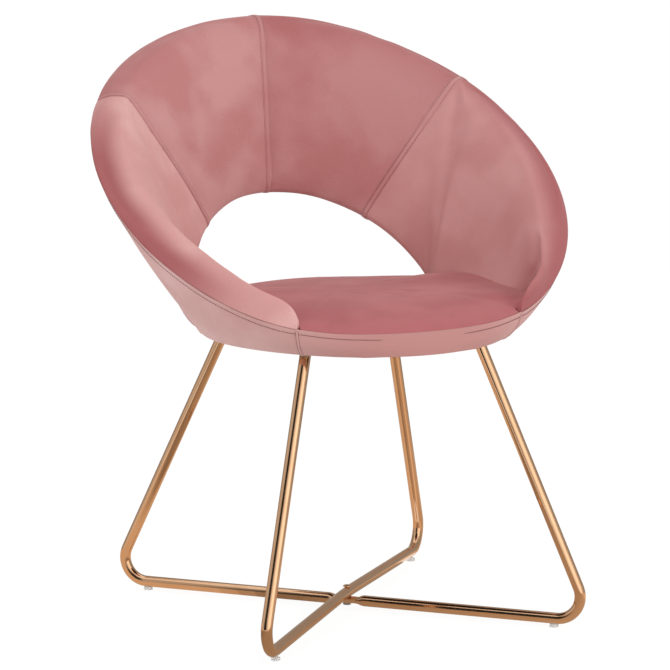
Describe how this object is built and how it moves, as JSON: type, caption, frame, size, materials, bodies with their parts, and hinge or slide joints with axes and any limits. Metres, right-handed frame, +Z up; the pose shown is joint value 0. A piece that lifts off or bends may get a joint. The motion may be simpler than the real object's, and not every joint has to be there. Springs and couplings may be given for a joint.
{
  "type": "upholstered armchair",
  "caption": "Upholstered tub armchair with a tilted round shell, an open back, a soft seat and crossed bent-tube sled legs.",
  "frame": {"origin": "on the floor, under the middle of the whole chair in plan", "axes": "+Z up, the chair faces -Y, +X is the sitter's left"},
  "size_m": [0.6984, 0.6032, 0.8294],
  "materials": {
    "rose_velvet": "short cut-pile velvet, dusty rose",
    "pale_velvet": "short cut-pile velvet, dusty rose, the outer cover",
    "plywood": "raw birch plywood",
    "black_cloth": "non-woven dust cover",
    "copper_plate": "polished steel tube with rose-gold plating",
    "zinc_steel": "zinc-plated steel",
    "clear_plastic": "clear moulded plastic"
  },
  "bodies": {
    "root": {"arm_pad_left": "rose_velvet", "arm_pad_right": "rose_velvet", "back_pad_left": "rose_velvet", "back_pad_right": "rose_velvet", "cross_bolt": "copper_plate", "cross_nut": "zinc_steel", "dust_cover": "black_cloth", "front_band": "pale_velvet", "glide_back_left": "clear_plastic", "glide_back_right": "clear_plastic", "glide_front_left": "clear_plastic", "glide_front_right": "clear_plastic", "leg_frame_lower": "copper_plate", "leg_frame_upper": "copper_plate", "leg_plate_back_left": "zinc_steel", "leg_plate_back_right": "zinc_steel", "leg_plate_front_left": "zinc_steel", "leg_plate_front_right": "zinc_steel", "leg_screw_back_left_1": "zinc_steel", "leg_screw_back_left_2": "zinc_steel", "leg_screw_back_right_1": "zinc_steel", "leg_screw_back_right_2": "zinc_steel", "leg_screw_front_left_1": "zinc_steel", "leg_screw_front_left_2": "zinc_steel", "leg_screw_front_right_1": "zinc_steel", "leg_screw_front_right_2": "zinc_steel", "outer_cover_left": "pale_velvet", "outer_cover_right": "pale_velvet", "plywood_shell": "plywood", "rear_band": "pale_velvet", "seat_board": "plywood", "seat_cushion": "rose_velvet"}
  },
  "joints": []
}
